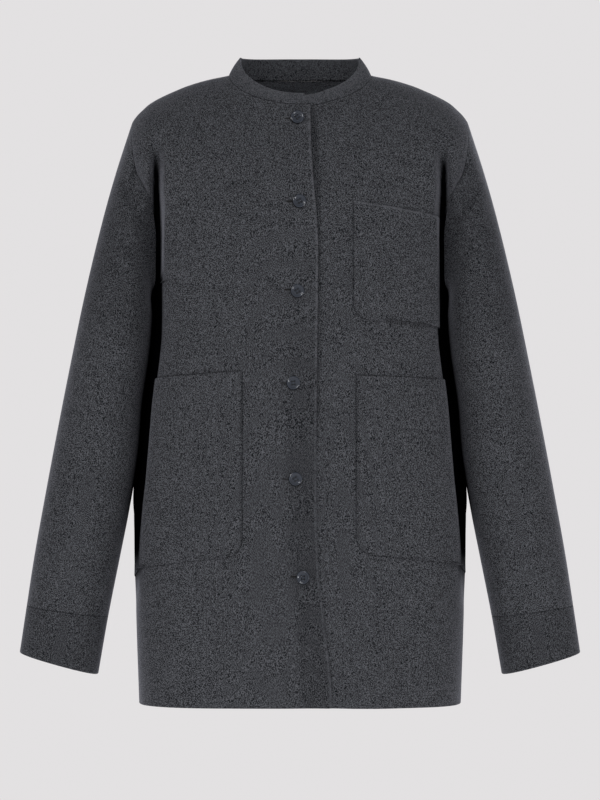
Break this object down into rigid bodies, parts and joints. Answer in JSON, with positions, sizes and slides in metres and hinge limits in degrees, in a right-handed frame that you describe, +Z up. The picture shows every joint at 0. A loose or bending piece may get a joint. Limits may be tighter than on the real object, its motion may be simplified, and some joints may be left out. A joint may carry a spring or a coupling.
{
  "type": "short coat",
  "caption": "Short boxy wool coat with a band collar, buttoned front, drop-shoulder sleeves with sewn cuffs, and chest and hip patch pockets, filled out as worn.",
  "frame": {"origin": "midway between the two neck points, where the wearer's shoulders carry the coat", "axes": "+X to the wearer's left, -Y is the front, +Z up"},
  "size_m": [0.658, 0.259, 0.7597],
  "materials": {
    "wool": "charcoal melange felted wool, soft short nap, matt",
    "buttons": "polished slate blue resin"
  },
  "bodies": {
    "root": {"front_right": "wool", "front_left": "wool", "back": "wool", "sleeve_right": "wool", "sleeve_left": "wool", "cuff_right": "wool", "cuff_left": "wool", "collar_band": "wool", "chest_pocket": "wool", "hip_pocket_right": "wool", "hip_pocket_left": "wool", "button_1": "buttons", "button_2": "buttons", "button_3": "buttons", "button_4": "buttons", "button_5": "buttons", "button_6": "buttons"}
  },
  "joints": []
}
